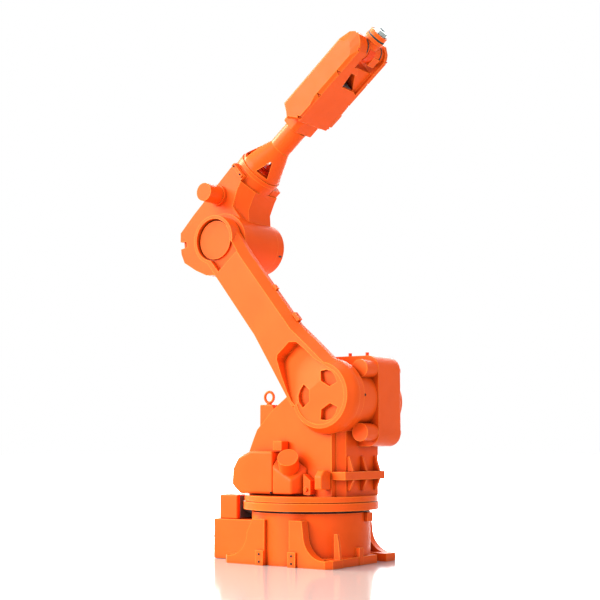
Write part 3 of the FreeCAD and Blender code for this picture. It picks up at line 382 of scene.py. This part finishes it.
block_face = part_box("levelling_blocks")[1][1]
fork_low, fork_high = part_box("fork_casting")
cheek_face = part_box("lower_arm_casting")[1][1] + 0.005  # the column's face, across the gap
cover_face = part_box("shoulder_motor_cover")[1][1]
barrel_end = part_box("elbow_motor_cover")[1][1]
hood_low, hood_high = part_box("connector_hood")
box_low, box_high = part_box("connector_box")
case_low, case_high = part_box("turn_motor_cover")
bracket_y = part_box("neck_bracket")[0][1]
hood_middle = (box_high[2] + hood_high[2]) / 2
PLATE_THICK = 0.003  # the plate on the front of the hood
DRUM_RADIUS = 0.0461  # inside of the wrist's seals
SOCKETS = (-0.060, 0.018)  # the rear sockets, across the hood
COVER_DROP = 0.018  # the motor cover's middle lies this far under the shoulder axis
SEAL_START, SEAL_END = 0.0006, 0.0046


def side_cover_screws(mesh):
    """Cap screws in the bolt notches of both side covers."""
    first, pitch, level = 0.605, 0.126, -0.0475
    for number in range(4):
        x = first + pitch * number
        for side, face in ((-1, fork_low[1]), (1, fork_high[1])):
            place = standing(FORE, (x, face, level), (0, side, 0))
            cap_screw(mesh, place, radius=0.0042, height=0.007)


def block_screws(mesh):
    """Cap screws on the outer faces of the levelling blocks."""
    for x in (-0.0685, 0.0885):
        for side in (-1, 1):
            for z in (0.0145, 0.0435):
                place = standing(WORLD, (x, side * block_face, z), (0, side, 0))
                cap_screw(mesh, place, radius=0.0048, height=0.002)


def hatch_shade_liner(mesh):
    """Dark shroud over the pulley in the opening under the fork, of three plates: painted shade inside
    the opening.
    """
    block(mesh, FORE, (0.8065, -0.0215, 0.001), (0.8755, 0.0010, 0.0060))
    block(mesh, FORE, (0.8060, -0.0225, -0.040), (0.8090, 0.0500, 0.0055))
    block(mesh, FORE, (0.8070, -0.0005, 0.0015), (0.8400, 0.0300, 0.0065))


def hatch_pulley(mesh):
    """Toothed pulley with two rims, behind the opening."""
    teeth = 28
    bore, body, rim = 0.006, 0.0150, 0.0165
    place = standing(FORE, (0.846, -0.020, -0.014), (0, 1, 0))
    lathe(mesh, place, [(bore, 0, 0), (rim, 0, 0), (rim, 0.002, 0), (body, 0.002, teeth),
                        (body, 0.012, teeth), (rim, 0.012, 0), (rim, 0.014, 0),
                        (bore, 0.014, 0), (bore, 0, 0)], sides=56)


def wrist_seals(mesh):
    """Rubber seals at both ends of the wrist's drum and behind the tool ring."""
    drum = standing(FORE, (BEND_X, 0, 0), (0, 1, 0))
    for low, high in ((-0.0472, -0.0425), (0.0540, 0.0590)):
        ring(mesh, drum, DRUM_RADIUS, 0.0485, low, high)
    tool = standing(FORE, (0, 0, 0), (1, 0, 0))
    ring(mesh, tool, inner=0.0381, outer=0.0412, low=1.0424, high=1.0498)


def wrist_cover(mesh):
    """Curved cover plate, in nine strips, on the underside of the wrist's drum."""
    radius, first, step = 0.0462, 228, 9
    for number in range(9):
        angle = math.radians(first + step * number)
        outward = (math.cos(angle), 0, math.sin(angle))
        centre = (BEND_X + radius * outward[0], 0, radius * outward[2])
        place = facing(FORE, centre, outward, (0, 1, 0))
        block(mesh, place, (-0.030, -0.0042, -0.001), (0.014, 0.0042, 0.0022))


def tool_ring_screws(mesh):
    """Screws round the front of the tool ring."""
    front = (1.0662, 0, 0)
    for place in round_the(FORE, front, (1, 0, 0), radius=0.0362, count=8, first=math.radians(22)):
        cap_screw(mesh, place, radius=0.0026, height=0.0026)


def hood_shade_plate(mesh):
    """Dark sealing plate on the front of the connector hood: painted shade for the gap under the flange.
    """
    side, edge = 0.020, 0.004
    block(mesh, WORLD, (hood_high[0], hood_low[1] + side, box_high[2] + edge),
          (hood_high[0] + PLATE_THICK, hood_high[1] - side, hood_high[2] - edge))


def hood_glands(mesh):
    """Ribbed cable boots that slope from the hood's plate towards the drum."""
    bore, collar, valley, crest, tip, length = 0.010, 0.021, 0.019, 0.022, 0.017, 0.046
    for y in (-0.062, 0.0, 0.062):
        profile = [(bore, 0, 0), (collar, 0, 0)]
        for rib in range(6):
            base = 0.003 + 0.0065 * rib
            profile += [(valley, base, 0), (crest, base + 0.002, 0), (valley, base + 0.004, 0)]
        profile += [(tip, length, 0), (bore, length, 0), (bore, 0, 0)]
        at = (hood_high[0] + PLATE_THICK, y, hood_middle)
        lathe(mesh, standing(WORLD, at, (1, 0, -0.35)), profile, sides=36)


def hood_rear():
    """The middle of the hood's rear, with X across and Z outward."""
    return facing(WORLD, (hood_low[0], 0, hood_middle), (-1, 0, 0), (0, 1, 0))


def rear_sockets(mesh):
    """Two multi-pole sockets and a round one on the rear of the hood."""
    rear = hood_rear()
    for across in SOCKETS:
        block(mesh, rear, (across - 0.030, -0.022, 0), (across + 0.030, 0.022, 0.006))
        block(mesh, rear, (across - 0.024, -0.016, 0.005), (across + 0.024, 0.016, 0.022))
    lathe(mesh, rear @ Matrix.Translation((0.080, 0, 0)),
          [(0.020, 0, 6), (0.020, 0.008, 6), (0.015, 0.008, 0), (0.015, 0.020, 0),
           (0.011, 0.020, 0), (0.011, 0.010, 0)])


def rear_screws(mesh):
    """Screws of the rear sockets and of the connector box's rear lid."""
    rear = hood_rear()
    for across in SOCKETS:
        for up in (-0.018, 0.018):
            for side in (-0.0265, 0.0265):
                place = rear @ Matrix.Translation((across + side, up, 0.006))
                cap_screw(mesh, place, radius=0.0022, height=0.0024)
    inset = 0.014
    for y in (box_low[1] + inset, 0.0, box_high[1] - inset):
        for z in (0.016, box_high[2] - inset):
            place = standing(WORLD, (box_low[0], y, z), (-1, 0, 0))
            cap_screw(mesh, place, radius=0.0045, height=0.004)


def latch_hook(mesh):
    """Pin and toggle of the connector box's latch, on its near side."""
    low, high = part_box("box_latch")
    middle = (low + high) / 2
    pin, past = 0.0035, 0.004
    lathe(mesh, standing(WORLD, (middle.x - 0.003, low.y, middle.z), (0, 1, 0)),
          [(pin, -past, 0), (pin, high.y - low.y + past, 0)], sides=16)
    block(mesh, WORLD, (low.x - 0.004, middle.y - 0.006, low.z - 0.014),
          (low.x, middle.y + 0.006, high.z + 0.010))


def seam_screws(mesh):
    """The screw at the foot of the seam between the motor cover and the gear case."""
    foot = (case_high[0] - 0.004, case_low[1], case_low[2] + 0.006)
    cap_screw(mesh, standing(WORLD, foot, (0, -1, 0)), radius=0.0042, height=0.004)


def sideways(degrees):
    """The direction in the XZ plane that lies so far above +X."""
    return Vector((math.cos(math.radians(degrees)), 0, math.sin(math.radians(degrees))))


def housing_plug(mesh):
    """Dark plug on the front of the shoulder housing."""
    outward = sideways(4.5)
    at = Vector((SHOULDER.x, -0.090, SHOULDER.z - 0.009)) + outward * 0.1375
    cap_screw(mesh, standing(WORLD, at, outward), radius=0.0050, height=0.003)


def elbow_slot(mesh):
    """Dark slot plug in the elbow motor housing."""
    outward = sideways(-21)
    at = Vector((ELBOW.x, 0.128, ELBOW.z)) + outward * 0.1135
    block(mesh, standing(WORLD, at, outward), (-0.010, -0.0035, -0.001), (0.010, 0.0035, 0.002))


def cover_screws(mesh):
    """Screws round the lid and in the corner bosses of the shoulder motor cover."""
    centre = (SHOULDER.x, cover_face, SHOULDER.z - COVER_DROP)
    for place in round_the(WORLD, centre, (0, 1, 0), radius=0.119, count=12,
                           first=math.radians(15)):
        cap_screw(mesh, place, radius=0.0048, height=0.005)
    boss_x, boss_z, boss_depth = 0.106, 0.126, 0.018
    for side in (-1, 1):
        for level in (-1, 1):
            at = (SHOULDER.x + side * boss_x, cover_face - boss_depth,
                  SHOULDER.z - COVER_DROP + level * boss_z)
            cap_screw(mesh, standing(WORLD, at, (0, 1, 0)), radius=0.0085, height=0.008)


def elbow_screws(mesh):
    """Screws on the far face of the elbow motor housing."""
    centre = (ELBOW.x, barrel_end, ELBOW.z)
    for place in round_the(WORLD, centre, (0, 1, 0), radius=0.100, count=8):
        cap_screw(mesh, place, radius=0.0048, height=0.005)


def bracket_screws(mesh):
    """Screws of the cable bracket at the neck."""
    for z in (-0.018, 0.034):
        place = standing(FORE, (0.240, bracket_y, z), (0, -1, 0))
        cap_screw(mesh, place, radius=0.0040, height=0.004)


def shoulder_seal(mesh):
    """Dust seal between the lower arm and the column."""
    ring(mesh, standing(WORLD, SHOULDER, (0, -1, 0)), inner=0.136, outer=0.1425,
         low=-cheek_face + SEAL_START, high=-cheek_face + SEAL_END)


def elbow_seal(mesh):
    """Dust seal between the lower arm and the elbow casting."""
    ring(mesh, standing(WORLD, ELBOW, (0, -1, 0)), inner=0.088, outer=0.097,
         low=-cheek_face + SEAL_START, high=-cheek_face + SEAL_END)


def yoke_seal(mesh):
    """Seal plate on the roll gearbox, seen through the windows of the yoke."""
    outer, hub = 0.078, 0.030
    lathe(mesh, standing(FORE, (0.296, 0, 0), (1, 0, 0)),
          [(outer, 0, 0), (outer, 0.003, 0), (hub, 0.003, 0), (hub, 0.012, 0)], sides=56)


add_piece("side_cover_screws", "forearm", red_paint, side_cover_screws)
add_piece("block_screws", "base", black_oxide, block_screws)
# dark shroud: painted shade inside the hatch opening
add_piece("hatch_shade_liner", "forearm", plastic, hatch_shade_liner)
add_piece("hatch_pulley", "forearm", zinc, hatch_pulley)
add_piece("wrist_seals", "wrist", rubber, wrist_seals, 0.0006)
add_piece("wrist_cover", "wrist", red_paint, wrist_cover)
add_piece("tool_ring_screws", "tool_spindle", zinc, tool_ring_screws)
# dark plate: painted shade in the gap between the hood and the flange
add_piece("hood_shade_plate", "base", plastic, hood_shade_plate, 0.0008)
add_piece("hood_glands", "base", rubber, hood_glands)
add_piece("rear_sockets", "base", plastic, rear_sockets, 0.0010)
add_piece("rear_screws", "base", zinc, rear_screws)
add_piece("latch_hook", "base", zinc, latch_hook, 0.0008)
add_piece("seam_screws", "turntable", black_oxide, seam_screws)
add_piece("housing_plug", "turntable", black_oxide, housing_plug)
add_piece("elbow_slot_plug", "upper_arm", rubber, elbow_slot, 0.0008)
add_piece("motor_cover_screws", "turntable", black_oxide, cover_screws)
add_piece("elbow_housing_screws", "upper_arm", black_oxide, elbow_screws)
add_piece("neck_bracket_screws", "upper_arm", black_oxide, bracket_screws)
add_piece("shoulder_seal", "lower_arm", rubber, shoulder_seal)
add_piece("elbow_seal", "lower_arm", rubber, elbow_seal)
add_piece("yoke_seal", "upper_arm", red_paint, yoke_seal, 0.0008)


# ------------------------------------------------------- floor and light
FLOOR_RADIUS = 40
FLOOR_DROP = -0.0005  # keeps the floor from sharing a plane with the foot
bpy.ops.mesh.primitive_circle_add(vertices=96, radius=FLOOR_RADIUS, fill_type="NGON")
floor = bpy.context.object
floor.name = "floor"
floor_material, tree = new_material("pale_floor")
floor_tone = mixed(tree, noise(tree, 0.7, 2), (0.47, 0.47, 0.47), (0.455, 0.455, 0.455))
surface(tree, Base_Color=floor_tone, Roughness=0.13, Specular_IOR_Level=0.7)
floor.data.materials.append(floor_material)
floor.location.z = FLOOR_DROP

AMBIENT = 0.35  # the world's strength as a light
BACKDROP = 1.0  # and as the camera and mirrored rays see it
world = bpy.data.worlds.new("studio")
bpy.context.scene.world = world
world.use_nodes = True
background = world.node_tree.nodes["Background"]
background.inputs["Color"].default_value = (1, 1, 1, 1)
seen = world.node_tree.nodes.new("ShaderNodeLightPath")
mirrored = world.node_tree.nodes.new("ShaderNodeMath")
mirrored.operation = "MAXIMUM"
world.node_tree.links.new(seen.outputs["Is Camera Ray"], mirrored.inputs[0])
world.node_tree.links.new(seen.outputs["Is Glossy Ray"], mirrored.inputs[1])
strength = ramp(world.node_tree, mirrored.outputs["Value"], 0, 1, AMBIENT, BACKDROP)
world.node_tree.links.new(strength, background.inputs["Strength"])
scene = bpy.context.scene
scene.view_settings.view_transform = "Standard"


def soft_sun(name, towards, strength, spread, tint=(1, 1, 1)):
    """An even light from one direction; strength 1 lights a facing white wall to white."""
    light = bpy.data.lights.new(name, "SUN")
    light.color = tint
    light.energy = strength * math.pi
    light.angle = math.radians(spread)
    holder = bpy.data.objects.new(name, light)
    scene.collection.objects.link(holder)
    holder.rotation_euler = Vector(towards).to_track_quat("Z", "Y").to_euler()


soft_sun("key", (-0.35, -0.85, 0.38), 1.4, 40)
soft_sun("fill", (0.85, -0.35, 0.25), 0.30, 60)
soft_sun("rim", (-0.92, -0.18, 0.5), 2.0, 25, (1.0, 0.92, 0.68))
soft_sun("top", (0.0, 0.0, 1.0), 0.45, 40)
soft_sun("back", (-0.45, 0.85, 0.3), 0.8, 50)

# --------------------------------------------------------------- camera
# fitted to the photograph
LENS_MM = 73.06
SENSOR_MM = 36
CAMERA_AT = Vector((2.8935, -4.1477, 0.4834))
PITCH = math.radians(6.64)
YAW = math.atan2(CAMERA_AT.x, -CAMERA_AT.y) + math.radians(0.52)
camera = bpy.data.cameras.new("camera")
camera.lens = LENS_MM
camera.sensor_width = SENSOR_MM
camera.clip_end = 100
shot = bpy.data.objects.new("camera", camera)
scene.collection.objects.link(shot)
shot.location = CAMERA_AT
shot.rotation_euler = (math.radians(90) + PITCH, 0, YAW)
scene.camera = shot
